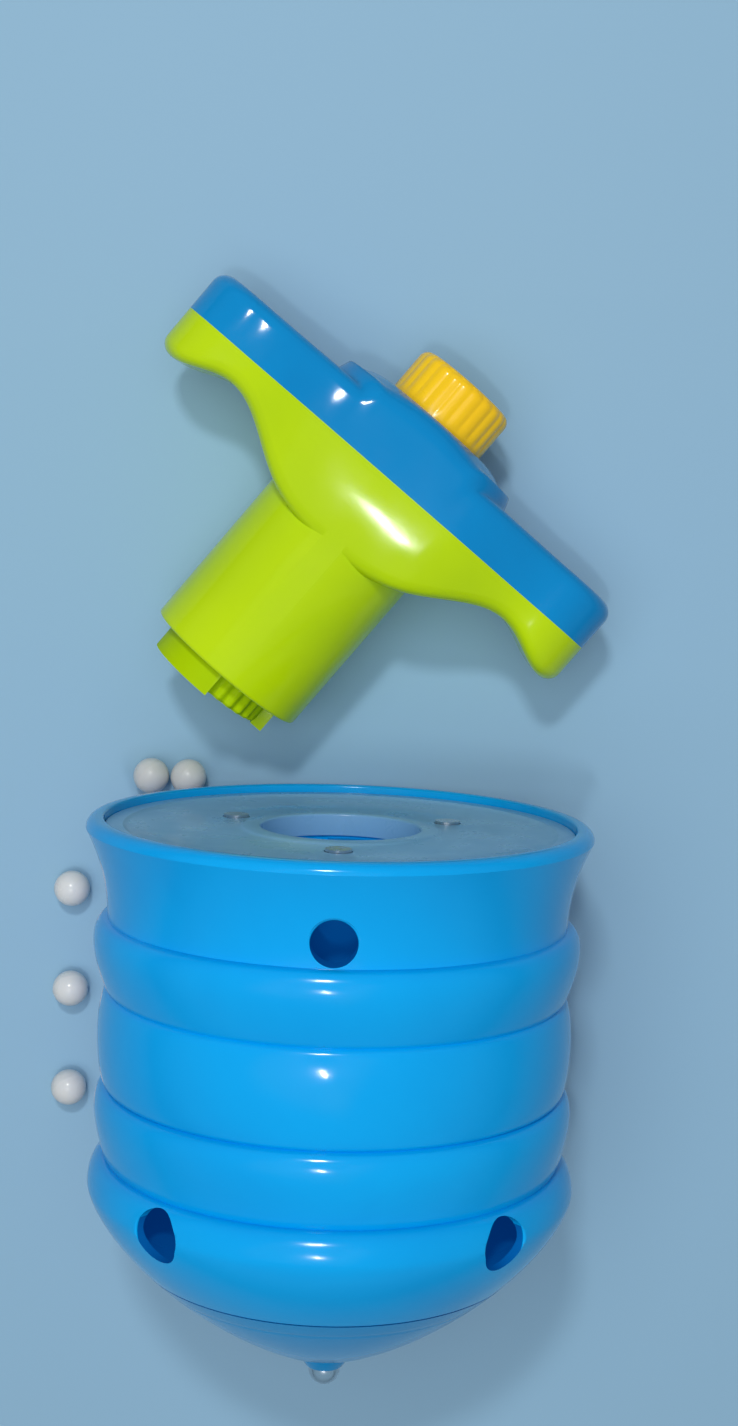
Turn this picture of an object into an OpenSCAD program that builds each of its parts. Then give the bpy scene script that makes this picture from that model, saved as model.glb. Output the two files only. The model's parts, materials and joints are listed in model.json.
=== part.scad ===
// A light-up spinning top, its wind-up launcher and five pellets, laid flat on a table.
// Sizes are in millimetres. The top is drawn standing on its tip and the launcher with
// its button up; lay_top() and lay_launcher() then put both on their sides.

/* [Top outside] */
// Radius of the rim
rim_r = 37.8; // [37.2:0.1:42]
// Radius at the groove under the rim band
neck_r = 34.4; // [32.8:0.1:35]
// Radius at the grooves between the bands
groove_r = 34.2; // [32.6:0.1:34.4]
// Crest radius of the band under the rim band
band_a_r = 36.4; // [34.5:0.1:37.2]
// Crest radius of the middle band
band_b_r = 35.6; // [34.5:0.1:37]
// Crest radius of the lowest band
band_c_r = 35.9; // [34.5:0.1:37.2]
// Height of the flared rim band
rim_band_h = 14.9; // [14.8:0.1:20]
// Height of the band under the rim band
band_a_h = 10.9; // [8:0.1:16]
// Height of the middle band
band_b_h = 14.2; // [8:0.1:20]
// Height of the lowest band
band_c_h = 10.9; // [8:0.1:16]
// Height of the shoulder between the lowest band and the base cap
shoulder_h = 15.8; // [15.4:0.1:18]
// Radius of the base at its widest, in the shoulder
base_r = 36.7; // [36:0.1:37.5]
// Height of the seam of the base cap over the end of the tip
cap_seam_z = 21.3; // [20.5:0.1:23]
// How far the tip stands out of the base
tip_out = 4; // [3:0.1:4.5]
// Radius of the spinning tip
tip_r = 2.4; // [2:0.1:3]

/* [Top inside] */
// Wall of the base cap
shell_wall = 2; // [1.6:0.1:2.4]
// Inner radius of the shells
shell_bore_r = 31; // [30.6:0.1:31.2]
// Radius of the core inside the ring of pellets
core_r = 22.8; // [22:0.1:23]
// Wall of the core
core_wall = 1.6; // [1.2:0.1:2]
// Thickness of the lid
lid_t = 2.4; // [2:0.1:3]
// How far the lid lies under the rim
lid_drop = 1.2; // [0.6:0.1:2]
// Radius of the socket that takes the launcher's claws
socket_r = 12; // [11.8:0.1:12.6]
// Depth of the socket's mouth in the lid
socket_mouth = 3.4; // [3:0.1:4.5]
// Depth of the hub under the mouth
hub_depth = 3.1; // [2.8:0.1:4]
// Height of the circuit board over the tip
board_z = 42; // [40:0.5:50]
// Thickness of the circuit board
board_t = 1.6; // [1:0.1:2]

/* [Pellets] */
// Diameter of a pellet
pellet_d = 6; // [5.5:0.1:6.2]
// Diameter of an upper pellet port
port_d = 6.5; // [6.3:0.1:7]
// Diameter of a lower pellet port
low_port_d = 7.8; // [6.5:0.1:7.9]
// Distance of the upper ports under the rim
port_drop = 11.5; // [10.8:0.1:11.5]
// Height of the lower ports over the tip
port_low_z = 32.8; // [32.6:0.1:33]
// Angle between an upper port and the lower ports beside it
low_port_side = 42; // [40:0.5:50]

/* [Launcher outside] */
// Length of the handle
handle_l = 82; // [79:0.2:90]
// Depth of the handle at its middle
grip_d = 28.4; // [28.2:0.1:32]
// Depth of the handle at its ends
grip_end_d = 19; // [17:0.1:22]
// Height of the cover
cover_h = 7.9; // [7.5:0.1:9]
// Height of the cover at its raised middle
platform_h = 10.2; // [10:0.1:11]
// Radius of the raised middle
platform_r = 17.6; // [17.4:0.1:19]
// Height of the low crown round the button
crown_h = 11.6; // [11.4:0.1:12]
// Depth of the belly under the cover
belly_h = 14.1; // [13.5:0.1:16]
// Height of the lower half at its waist
waist_h = 4.7; // [4.5:0.1:6]
// Height of the lower half near its ends
foot_h = 7.8; // [7:0.1:9]
// Outer radius of the tube
tube_r = 13.9; // [13.3:0.1:14.2]
// Length of the tube from the parting face
tube_l = 39.5; // [39.3:0.1:44]
// Radius of the button
button_r = 8.85; // [8:0.05:9]
// Height of the button's top over the parting face
button_top = 19.5; // [18:0.1:22]

/* [Launcher inside] */
// Wall of the handle
grip_wall = 1.7; // [1.4:0.1:2]
// Inner radius of the tube round the rotor
tube_bore_r = 11.9; // [11.8:0.05:12.1]
// Radius of the rotor
rotor_r = 10.8; // [10.4:0.1:11.6]
// How far the rotor's face stands out of the tube
rotor_out = 0.3; // [0:0.1:3]
// Height of the claws
claw_h = 4; // [3:0.1:4.5]
// Radius of the rotor's axle
axle_r = 2; // [1.5:0.1:2.3]
// Radius of the ratchet wheel
ratchet_r = 8.5; // [8:0.1:8.8]
// Number of ratchet teeth
ratchet_teeth = 12; // [8:1:16]
// Travel of the button
button_travel = 2; // [1:0.1:2]

/* [Layout] */
// Turn of the launcher on the table in degrees
launch_turn = 39; // [30:0.1:50]
// Place of the launcher beside the top's axis
launch_dx = 5.4; // [0:0.1:12]
// Place of the launcher's parting face beyond the rim
launch_dy = 50.8; // [50:0.1:60]
// Distance of the row of pellets from the top's axis
row_dx = 45.2; // [41.5:0.1:50]
// First and next pellets of the row, from the rim down
row_first = 18.9; // [10:0.1:30]
// Pitch of the row of pellets
row_pitch = 17.1; // [8:0.1:20]
// Distance of the pair of pellets from the top's axis
pair_dx = 32.3; // [22:0.1:36]
// How far the middles of the pair lie beyond the rim
pair_out = 0.6; // [0:0.1:5]

/* [Hidden] */
$fn = 96;
over = 0.5;
fit = 0.05;
gap = 0.2;
soft_gap = 0.1;

// Heights on the top, from the end of the tip
shoulder_z = cap_seam_z + shoulder_h;
band_b_z = shoulder_z + band_c_h;
band_a_z = band_b_z + band_b_h;
rim_band_z = band_a_z + band_a_h;
top_h = rim_band_z + rim_band_h;
wide_share = 0.87;
wide_z = tip_out + (shoulder_z - tip_out) * wide_share;
lid_top = top_h - lid_drop;
lid_low = lid_top - lid_t;
port_high_z = top_h - port_drop;
high_turns = [0:90:270];
low_turn = 1.5;
low_turns = [for (back = [0, 180], side = [-1, 1])
    back + 90 + side * low_port_side + low_turn];

// Steps in the curved outlines, and how far up a band its crest lies
band_steps = 14;
band_wall = 1.6;
crest_power_a = 1.9;
crest_power_b = 1.1;
crest_power_c = 1.9;
fullness = 0.4;
flare_power = 2;
flare_steps = 10;
side_power = 1.424;
round_power = 1.341;
base_steps = 20;
base_bend = 1.5;
rim_round = 1.6;
rim_steps = 6;

// Shelf that parts the pellet ring from the base, and its flange over the base cap
shelf_t = 2;
flange_t = 2;
flange_r = 26.6;
spigot_wall = 1.4;
spigot_h = 3;
spigot_rise = 3.3;
shelf_low = cap_seam_z + spigot_rise + flange_t + soft_gap;
shelf_top = shelf_low + shelf_t;
rim_wall = 2.7;
lid_lap = 3.6;
lid_r = rim_r - rim_wall;
joint_r = min(inside(neck_r), inside(band_a_r));
core_bore_r = core_r - core_wall;

// Hub under the lid, wider than its mouth, and the lugs inside it
hub_step = 0.6;
lug_turns = [50, 230];
lug_angle = 50;

// Small screws
screw_r = 0.95;
screw_head_r = 1.9;
screw_head_h = 1.3;
boss_r = 2.9;
boss_l = 12;
lid_boss_at = core_bore_r - boss_r + over;
lid_screw_l = 10;
lid_screw_turns = [30, 150, 270];

// Tip and its boss
tip_stem_r = 1.5;
tip_stem_l = 6.5;
tip_boss_r = 4;
collar_h = 0.9;
collar_l = 2.4;
collar_r = 4.6;

// Board and what is on it
ledge_w = 2;
ledge_t = 2;
led_r = 2.5;
led_h = 8.4;
led_lip = 0.4;
led_lip_h = 1;
led_play = 2.8;
led_at = core_bore_r - led_r - led_lip - led_play;
led_turns = [45, 135, 225, 315];
speaker_r = 10;
speaker_h = 4.2;
speaker_lip = 1.5;
chip_r = 4;
chip_h = 1.6;
chip_at = 9;
lead_r = 0.6;
lead_at = 12.5;

// Batteries
cell_r = 5.8;
cell_h = 5.4;
cell_at = 7.6;
cell_play = 0.15;
contact_t = 0.3;
contact_r = 3.5;
holder_r = 16.5;
holder_floor = 0.9;
holder_z = 14.5;
holder_top = holder_z + holder_floor + contact_t + cell_h + soft_gap;
seat_ring_r = 15.5;
seat_ring_wall = 2.5;
cover_t = 1.2;

// Centrifugal switch under the board
switch_l = 10;
switch_w = 5.2;
switch_h = 4.2;
switch_x = 5;
switch_wall = 0.9;
weight_r = 1.5;
weight_l = 3;
switch_z = board_z - switch_h / 2;
weight_x = switch_x + switch_wall + fit;

// Springs
wire_r = 0.25;
ring_steps = 8;
wire_sides = 6;
small_spring_turns = 3;

// Launcher, from the parting face; the tube points down
grip_flat = 22;
end_r = grip_end_d / 2;
waist_share = 0.675;
foot_share = 0.945;
belly_power = 1.45;
outline_steps = 16;
drum_l = 9.5;
web_low = tube_l - drum_l;
web_t = 2;
web_top = web_low - web_t;
spring_bore_r = 11.3;
spring_room = 11.7;
washer_z = web_top - spring_room;
washer_t = 0.8;
plate_low = 2.4;
plate_t = 1.6;
plate_top = plate_low - plate_t;
plate_r = 12.45;
claw_end = tube_l + rotor_out + claw_h;
flute_share = 0.9;
flute_end = tube_l + rotor_out + claw_h * flute_share;
flute_r = 9;
flute_depth = 0.4;
flutes = 24;
claw_w = 2.1;
claw_angle = 92;
claw_turns = [180, 0];
axle_end = tube_l + rotor_out;
axle_top = 0.6;
bush_r = 4;
bush_lip_r = 5.2;
bush_lip_t = 0.6;
arbor_r = 3.2;
arbor_low = web_top - bush_lip_t - soft_gap;
arbor_top = washer_z - washer_t - over;
strip_w = 9.8;
strip_t = 0.4;
strip_turns = 6;
strip_steps = 24;
strip_low = web_top - bush_lip_t - gap;
clip_r = 3.6;
clip_t = 0.6;

// Ratchet and the catch beside it
ratchet_low = 6.5;
ratchet_t = 3;
ratchet_top = ratchet_low - ratchet_t;
tooth_h = 1.2;
tooth_share = 0.85;
ratchet_hub_r = 3.5;
bay_floor = 7;
bay_w = 16.4;
catch_off = 7;
catch_x = ratchet_r + catch_off;
catch_y = 4.5;
catch_hub_r = 2.4;
catch_arm_w = 2.6;
catch_tail = 10.6;
catch_gap = 0.3;
nose_w = 3;
catch_pin_r = 1.2;
catch_pin_low = 9;
catch_pin_top = 2;
catch_back = catch_x + catch_arm_w / 2;
catch_spring_room = 2.4;
bay_end = catch_back + catch_spring_room;
catch_spring_y = -2;
catch_spring_r = 1;

// Button
button_play = 0.15;
button_wall = 2;
button_crown = 1.5;
flange_low = 6.4;
flange_h = 1.6;
button_flange = 1.55;
button_spring_r = 5.2;
button_spring_turns = 8;
button_flutes = 24;
button_flute_r = 0.55;
flute_low = crown_h + 0.4;
prong_w = 2.4;
prong_y = catch_y - catch_tail + prong_w / 2 + gap;
prong_face = catch_x - catch_arm_w / 2 - catch_gap;
prong_t = 2;
prong_back = prong_face - prong_t;
prong_slope = 0.66;
prong_reach = 1.1;
prong_end = ratchet_top + prong_reach;

// Screws of the handle
grip_screw_in = 0.7;
grip_screw_x = handle_l / 2 - end_r - grip_screw_in;
grip_screw_r = 1.15;
grip_head_r = 2.4;
grip_head_h = 1.6;
grip_head_z = 3.2;
grip_post_r = 3.2;
grip_screw_top = 5;

// The middle of the layout lies at the origin
left_edge = -row_dx - pellet_d / 2;
right_edge = launch_dx + cos(launch_turn) * handle_l / 2 + sin(launch_turn) * cover_h;
far_edge = launch_dy + sin(launch_turn) * handle_l / 2 + cos(launch_turn) * cover_h;
mid_x = -(left_edge + right_edge) / 2;
mid_y = -(far_edge - top_h) / 2;

// Lays the top on its side with its rim plane across the table
module lay_top() {
    translate([mid_x, mid_y - top_h, rim_r]) rotate([-90, 0, 0]) children();
}

// Lays the launcher on the flat side of its handle
module lay_launcher() {
    translate([mid_x + launch_dx, mid_y + launch_dy, grip_d / 2])
        rotate([-90, 0, -launch_turn])
            children();
}

// Outline of one band, from its lower edge to its upper one
function swell(s, power) = pow(max(sin(180 * pow(s, power)), 0), fullness);
function band(z, h, crest, power, upper_r) = [for (i = [0:band_steps - 1])
    let (s = i / band_steps, foot_r = groove_r + (upper_r - groove_r) * s)
        [foot_r + (crest - foot_r) * swell(s, power), z + h * s]];
function crest_z(z, h, power) = z + h * pow(0.5, 1 / power);

// The bore is straight, but gives way where the outside comes nearer than a wall
function inside(outer) = min(shell_bore_r, outer - band_wall);

// Outline of the flare of the rim band, and of its rounded edge
function flare() = [for (i = [0:flare_steps - 1]) let (s = i / flare_steps)
    [neck_r + (rim_r - neck_r) * pow(s, flare_power),
        rim_band_z + (top_h - rim_round - rim_band_z) * s]];
function rim_edge() = [for (i = [0:rim_steps]) let (a = 90 * i / rim_steps)
    [rim_r - rim_round * (1 - cos(a)), top_h - rim_round * (1 - sin(a))]];

// Outline of the base, a cone with a rounded end, drawn in by a wall's thickness
function base_side(z, wall) = (base_r - wall)
    * pow(max(1 - pow((wide_z - z) / (wide_z - tip_out - wall), side_power), 0),
        1 / round_power);
function base_line(low, high, wall) = [for (i = [0:base_steps])
    let (z = low + (high - low) * pow(i / base_steps, base_bend))
        [base_side(z, wall), z]];

// Shoulder of the base: it swells out of the groove onto the cone
function shoulder() = concat(
    [for (i = [0:band_steps - 1])
        let (z = cap_seam_z + (wide_z - cap_seam_z) * i / band_steps) [base_side(z, 0), z]],
    [for (i = [0:rim_steps]) let (a = 90 * i / rim_steps)
        [groove_r + (base_r - groove_r) * cos(a), wide_z + (shoulder_z - wide_z) * sin(a)]]);

module ring(outer, inner, low, high) {
    difference() {
        translate([0, 0, low]) cylinder(r = outer, h = high - low);
        translate([0, 0, low - over]) cylinder(r = inner, h = high - low + 2 * over);
    }
}

module ports(height, turns, bore) {
    for (turn = turns)
        rotate([0, 90, turn])
            translate([-height, 0, core_r])
                cylinder(d = bore, h = rim_r);
}

module screw(shank_r, shank_l, head_r, head_h) {
    cylinder(r = shank_r, h = shank_l);
    translate([0, 0, shank_l]) cylinder(r = head_r, h = head_h);
}

// One unbroken wire wound on a cylinder along Z, as a spring is
module spring(radius, wire, length, turns) {
    steps = turns * ring_steps;
    rise = length - 2 * wire;
    echo(str("gap between the coils of a spring: ", rise / turns - 2 * wire));
    points = [for (i = [0:steps], j = [0:wire_sides - 1])
        let (turn = 360 * i / ring_steps, side = 360 * j / wire_sides,
            r = radius + wire * cos(side))
            [r * cos(turn), r * sin(turn), wire + rise * i / steps + wire * sin(side)]];
    walls = [for (i = [0:steps - 1], j = [0:wire_sides - 1])
        let (a = i * wire_sides + j, b = i * wire_sides + (j + 1) % wire_sides)
            each [[a, a + wire_sides, b], [b, a + wire_sides, b + wire_sides]]];
    ends = [[for (j = [0:wire_sides - 1]) j],
        [for (j = [wire_sides - 1:-1:0]) steps * wire_sides + j]];
    polyhedron(points, concat(walls, ends));
}

// Flared upper shell with the four upper pellet ports
module upper_shell() {
    color("deepskyblue") lay_top() difference() {
        union() {
            rotate_extrude() polygon(concat(
                [[inside(neck_r), rim_band_z]],
                flare(),
                rim_edge(),
                [[lid_r + fit, top_h], [lid_r + fit, lid_low], [lid_r - lid_lap, lid_low]]));
            ring(joint_r - fit, joint_r - fit - spigot_wall,
                rim_band_z - spigot_h, rim_band_z + spigot_h);
            ring(inside(neck_r) + over, joint_r - fit - spigot_wall,
                rim_band_z, rim_band_z + spigot_h);
        }
        ports(port_high_z, high_turns, port_d);
    }
}

// Banded shell with the step of the shelf and the four lower ports
module main_shell() {
    color("deepskyblue") lay_top() difference() {
        rotate_extrude() polygon(concat(
            [[flange_r + fit, cap_seam_z]],
            shoulder(),
            band(shoulder_z, band_c_h, band_c_r, crest_power_c, groove_r),
            band(band_b_z, band_b_h, band_b_r, crest_power_b, groove_r),
            band(band_a_z, band_a_h, band_a_r, crest_power_a, neck_r),
            [[neck_r, rim_band_z], [inside(neck_r), rim_band_z],
                [inside(band_a_r), crest_z(band_a_z, band_a_h, crest_power_a)],
                [inside(groove_r), band_a_z],
                [inside(band_b_r), crest_z(band_b_z, band_b_h, crest_power_b)],
                [inside(groove_r), band_b_z],
                [inside(band_c_r), crest_z(shoulder_z, band_c_h, crest_power_c)],
                [inside(groove_r), shoulder_z],
                [shell_bore_r, shelf_low], [flange_r + fit, shelf_low]]));
        ports(port_low_z, low_turns, low_port_d);
    }
}

// Shelf under the pellets, on the step of the shell and over the spigot of the cap
module pellet_shelf() {
    color("dodgerblue") lay_top() {
        ring(shell_bore_r - fit, core_r + fit, shelf_low, shelf_top);
        ring(flange_r, core_r + fit, shelf_low - flange_t, shelf_top);
    }
}

// Round base with the seat of the batteries and the boss of the tip
module base_cap() {
    color("dodgerblue") lay_top() difference() {
        union() {
            rotate_extrude() polygon(concat(
                base_line(tip_out, cap_seam_z, 0),
                reverse(base_line(tip_out + shell_wall, cap_seam_z, shell_wall))));
            intersection() {
                union() {
                    ring(base_r, flange_r - gap - shell_wall, cap_seam_z - shell_wall,
                        cap_seam_z);
                    ring(seat_ring_r, seat_ring_r - seat_ring_wall, 0, holder_z);
                    cylinder(r = tip_boss_r, h = tip_out + tip_stem_l + shell_wall);
                }
                rotate_extrude() polygon(concat(base_line(tip_out, cap_seam_z, 0),
                    [[0, cap_seam_z]]));
            }
            ring(flange_r - gap, flange_r - gap - shell_wall, cap_seam_z - shell_wall,
                cap_seam_z + spigot_rise);
            translate([0, 0, tip_out - collar_h])
                cylinder(r1 = tip_r + over, r2 = collar_r, h = collar_l);
        }
        translate([0, 0, tip_out - collar_h - over])
            cylinder(r = tip_stem_r + fit, h = collar_h + over + tip_stem_l);
    }
}

// Lid with the mouth of the launch socket and the recesses of its screws
module top_lid() {
    color("cadetblue") lay_top() difference() {
        union() {
            translate([0, 0, lid_low]) cylinder(r = lid_r, h = lid_t);
            translate([0, 0, lid_top - socket_mouth])
                cylinder(r = socket_r + shell_wall, h = socket_mouth);
        }
        translate([0, 0, lid_top - socket_mouth - over])
            cylinder(r = socket_r, h = socket_mouth + 2 * over);
        for (turn = lid_screw_turns)
            rotate([0, 0, turn]) translate([lid_boss_at, 0, lid_low - over]) {
                cylinder(r = screw_r + gap, h = lid_t + over);
                translate([0, 0, lid_t + over - screw_head_h - soft_gap])
                    cylinder(r = screw_head_r + gap, h = screw_head_h + over);
            }
    }
}

// Hub under the lid with two lugs that the claws push round
module launch_hub() {
    mouth = lid_top - socket_mouth;
    inner = socket_r + hub_step;
    color("deepskyblue") lay_top() {
        difference() {
            translate([0, 0, mouth - hub_depth - shell_wall])
                cylinder(r = socket_r + shell_wall, h = hub_depth + shell_wall);
            translate([0, 0, mouth - hub_depth]) cylinder(r = inner, h = hub_depth + over);
        }
        for (turn = lug_turns)
            rotate([0, 0, turn]) translate([0, 0, mouth - hub_depth - over])
                rotate_extrude(angle = lug_angle)
                    translate([socket_r - claw_w - gap, 0])
                        square([claw_w + gap + hub_step + over, hub_depth]);
    }
}

module lid_screws() {
    color("silver") lay_top() for (turn = lid_screw_turns)
        rotate([0, 0, turn])
            translate([lid_boss_at, 0, lid_top - screw_head_h - soft_gap - lid_screw_l])
                screw(screw_r, lid_screw_l, screw_head_r, screw_head_h);
}

// Core inside the pellet ring, with the ledge of the board and the screw bosses
module ball_core() {
    color("dodgerblue") lay_top() {
        ring(core_r, core_bore_r, shelf_low - flange_t, lid_low);
        ring(core_bore_r + over, core_bore_r - ledge_w, board_z - ledge_t, board_z);
        for (turn = lid_screw_turns)
            rotate([0, 0, turn]) translate([lid_boss_at, 0, lid_low - boss_l])
                difference() {
                    cylinder(r = boss_r, h = boss_l);
                    translate([0, 0, over]) cylinder(r = screw_r + fit, h = boss_l);
                }
    }
}

module spin_tip() {
    color("silver") lay_top() {
        translate([0, 0, tip_out - collar_h])
            cylinder(r = tip_stem_r, h = collar_h + tip_stem_l - over);
        intersection() {
            translate([0, 0, tip_r]) sphere(r = tip_r);
            cylinder(r = tip_r, h = tip_out - collar_h);
        }
    }
}

module circuit_board() {
    color("green") lay_top() translate([0, 0, board_z])
        cylinder(r = core_bore_r - gap, h = board_t);
}

module leds() {
    color("white") lay_top() for (turn = led_turns)
        rotate([0, 0, turn]) translate([led_at, 0, board_z + board_t]) {
            cylinder(r = led_r + led_lip, h = led_lip_h);
            cylinder(r = led_r, h = led_h - led_r);
            translate([0, 0, led_h - led_r]) sphere(r = led_r);
        }
}

module speaker() {
    color("dimgray") lay_top() translate([0, 0, board_z + board_t]) {
        cylinder(r = speaker_r - speaker_lip, h = speaker_h);
        translate([0, 0, speaker_h / 2]) cylinder(r = speaker_r, h = speaker_h / 2);
    }
}

module sound_chip() {
    color("black") lay_top() translate([-chip_at, 0, board_z - chip_h])
        cylinder(r1 = chip_r / 2, r2 = chip_r, h = chip_h);
}

// Tray of three button cells on the seat ring of the base cap
module battery_holder() {
    color("black") lay_top() difference() {
        translate([0, 0, holder_z]) cylinder(r = holder_r, h = holder_top - holder_z);
        at_cells() translate([0, 0, holder_z + holder_floor])
            cylinder(r = cell_r + cell_play, h = holder_top - holder_z);
        translate([0, 0, holder_z + holder_floor])
            cylinder(r = screw_r + fit, h = holder_top - holder_z);
    }
}

module at_cells() {
    for (turn = [0:120:240]) rotate([0, 0, turn]) translate([cell_at, 0, 0]) children();
}

module battery_contacts() {
    color("gold") lay_top() at_cells() translate([0, 0, holder_z + holder_floor])
        cylinder(r = contact_r, h = contact_t);
}

module button_cells() {
    color("silver") lay_top() at_cells()
        translate([0, 0, holder_z + holder_floor + contact_t])
            cylinder(r = cell_r, h = cell_h);
}

module battery_cover() {
    color("black") lay_top() ring(holder_r, screw_r + fit, holder_top, holder_top + cover_t);
}

module battery_screw() {
    shank = holder_top + cover_t - holder_z - holder_floor - over;
    color("silver") lay_top() translate([0, 0, holder_z + holder_floor + over])
        screw(screw_r, shank, screw_head_r, screw_head_h);
}

// Two leads from the batteries to the board
module battery_leads() {
    color("red") lay_top() for (side = [-1, 1])
        translate([0, side * lead_at, holder_top + cover_t])
            cylinder(r = lead_r, h = board_z - holder_top - cover_t);
}

// Case of the switch that wakes the lights when the top spins
module switch_case() {
    color("black") lay_top() difference() {
        translate([switch_x, -switch_w / 2, board_z - switch_h])
            cube([switch_l, switch_w, switch_h]);
        translate([switch_x + switch_wall, 0, switch_z]) rotate([0, 90, 0])
            cylinder(r = weight_r + fit, h = switch_l - 2 * switch_wall);
    }
}

module switch_weight() {
    color("goldenrod") lay_top() translate([weight_x, 0, switch_z]) rotate([0, 90, 0])
        cylinder(r = weight_r, h = weight_l);
}

module switch_spring() {
    start = weight_x + weight_l + fit;
    end = switch_x + switch_l - switch_wall - fit;
    color("silver") lay_top() translate([start, 0, switch_z]) rotate([0, 90, 0])
        spring(weight_r - 2 * wire_r, wire_r, end - start, small_spring_turns);
}

// Plan of the handle, drawn in by a wall's thickness
function blend(s) = (1 - cos(180 * s)) / 2;
function half_depth(x, wall) = let (mid = grip_d / 2 - wall, last = end_r - wall,
    from = grip_flat / 2, to = handle_l / 2 - end_r)
    x <= from ? mid
    : x <= to ? mid + (last - mid) * blend((x - from) / (to - from))
    : sqrt(max(pow(last, 2) - pow(x - to, 2), 0));
function plan_side(wall) = let (from = grip_flat / 2, to = handle_l / 2 - end_r)
    concat([for (i = [0:outline_steps]) let (x = from + (to - from) * i / outline_steps)
        [x, half_depth(x, wall)]],
        [for (i = [1:outline_steps]) let (a = 90 - 90 * i / outline_steps)
            [to + (end_r - wall) * cos(a), (end_r - wall) * sin(a)]]);
function reverse(list) = [for (i = [len(list) - 1:-1:0]) list[i]];

module plan(wall) {
    side = plan_side(wall);
    half = concat(side, [for (p = reverse(side)) [p[0], -p[1]]]);
    polygon(concat(half, [for (p = half) [-p[0], -p[1]]]));
}

// Front outline of the lower half: belly, waist and feet
function underside(x) = let (waist = waist_share * handle_l / 2,
    foot = foot_share * handle_l / 2)
    x <= waist
    ? waist_h + (belly_h - waist_h) * (1 - blend(pow(x / waist, belly_power)))
    : waist_h + (foot_h - waist_h) * blend(min((x - waist) / (foot - waist), 1));
front_side = [for (i = [0:2 * outline_steps])
    let (x = handle_l / 2 * i / (2 * outline_steps)) [x, -underside(x)]];

module lower_half() {
    intersection() {
        translate([0, 0, -belly_h]) linear_extrude(belly_h) plan(0);
        rotate([90, 0, 0]) translate([0, 0, -grip_d]) linear_extrude(2 * grip_d)
            polygon(concat([[handle_l, 0], [-handle_l, 0]],
                [for (p = reverse(front_side)) [-p[0], p[1]]], front_side));
    }
}

module along_tube(low, high, radius) {
    translate([0, 0, -low]) cylinder(r = radius, h = low - high);
}

// Green lower half with the tube, the web of the bush and the bay of the catch
module launcher_body() {
    color("yellowgreen") lay_launcher() difference() {
        union() {
            lower_half();
            along_tube(tube_l, waist_h, tube_r);
        }
        difference() {
            translate([0, 0, grip_wall - waist_h]) linear_extrude(waist_h) plan(grip_wall);
            for (side = [-1, 1])
                translate([side * grip_screw_x, 0, -waist_h])
                    cylinder(r = grip_post_r, h = waist_h);
        }
        along_tube(tube_l + over, web_low, tube_bore_r);
        along_tube(web_top, washer_z - over, spring_bore_r);
        along_tube(washer_z, plate_low - over, tube_bore_r);
        along_tube(plate_low, -over, plate_r + fit);
        along_tube(web_low + over, web_top - over, bush_r + fit);
        translate([ratchet_r, -bay_w / 2, -bay_floor])
            cube([bay_end - ratchet_r, bay_w, bay_floor + over]);
        translate([catch_x, catch_y, -catch_pin_low])
            cylinder(r = catch_pin_r + fit, h = catch_pin_low);
        for (side = [-1, 1]) translate([side * grip_screw_x, 0, 0]) {
            along_tube(grip_head_z + over, -over, grip_screw_r + soft_gap);
            along_tube(belly_h, grip_head_z, grip_head_r + gap);
        }
    }
}

// Blue cover with its raised middle, the crown round the button and its hole
module launcher_cover() {
    ceiling = cover_h - grip_wall;
    high_ceiling = platform_h - grip_wall;
    color("royalblue") lay_launcher() difference() {
        union() {
            linear_extrude(cover_h) plan(0);
            intersection() {
                linear_extrude(platform_h) plan(0);
                cylinder(r = platform_r, h = platform_h);
            }
            intersection() {
                translate([0, 0, platform_h])
                    cylinder(r1 = platform_r - grip_wall, r2 = button_r + grip_wall,
                        h = crown_h - platform_h);
                linear_extrude(crown_h) plan(0);
            }
        }
        difference() {
            translate([0, 0, -over]) linear_extrude(ceiling + over) plan(grip_wall);
            for (side = [-1, 1])
                translate([side * grip_screw_x, 0, -over])
                    cylinder(r = grip_post_r, h = cover_h);
        }
        intersection() {
            translate([0, 0, -over]) linear_extrude(high_ceiling + over) plan(grip_wall);
            translate([0, 0, -over])
                cylinder(r = platform_r - grip_wall, h = high_ceiling + over);
        }
        cylinder(r = button_r + button_play, h = crown_h + over);
        for (side = [-1, 1])
            translate([side * grip_screw_x, 0, -over])
                cylinder(r = grip_screw_r + soft_gap, h = grip_screw_top + over + gap);
    }
}

// Fluted button with its flange and the prong that works the catch
module release_button() {
    side_top = button_top - button_crown;
    color("gold") lay_launcher() difference() {
        union() {
            translate([0, 0, flange_low]) cylinder(r = button_r, h = side_top - flange_low);
            translate([0, 0, side_top])
                cylinder(r1 = button_r, r2 = button_r - button_crown, h = button_crown);
            translate([0, 0, flange_low]) cylinder(r = button_r + button_flange, h = flange_h);
            translate([0, prong_y - prong_w / 2, flange_low])
                cube([prong_face, prong_w, flange_h]);
            prong();
        }
        translate([0, 0, flange_low - over])
            cylinder(r = button_r - button_wall, h = side_top - flange_low);
        for (i = [0:button_flutes - 1])
            rotate([0, 0, 360 * i / button_flutes])
                translate([button_r + button_flute_r / 2, 0, flute_low])
                    cylinder(r = button_flute_r, h = button_top);
    }
}

// The prong's sloped face pushes the catch aside as the button goes down
module prong() {
    slope_top = ratchet_top - button_travel;
    wide = prong_face + prong_slope * button_travel;
    narrow = prong_face - prong_slope * (prong_end - ratchet_top);
    rotate([90, 0, 0]) translate([0, 0, -prong_y - prong_w / 2]) linear_extrude(prong_w)
        polygon([[prong_back, -prong_end], [narrow, -prong_end], [wide, -slope_top],
            [wide, over - slope_top], [prong_face, over - slope_top],
            [prong_face, flange_low + flange_h], [prong_back, flange_low + flange_h]]);
}

module button_spring() {
    length = button_top - button_crown - over - fit + plate_top - fit;
    color("silver") lay_launcher() translate([0, 0, fit - plate_top])
        spring(button_spring_r, 2 * wire_r, length, button_spring_turns);
}

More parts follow.
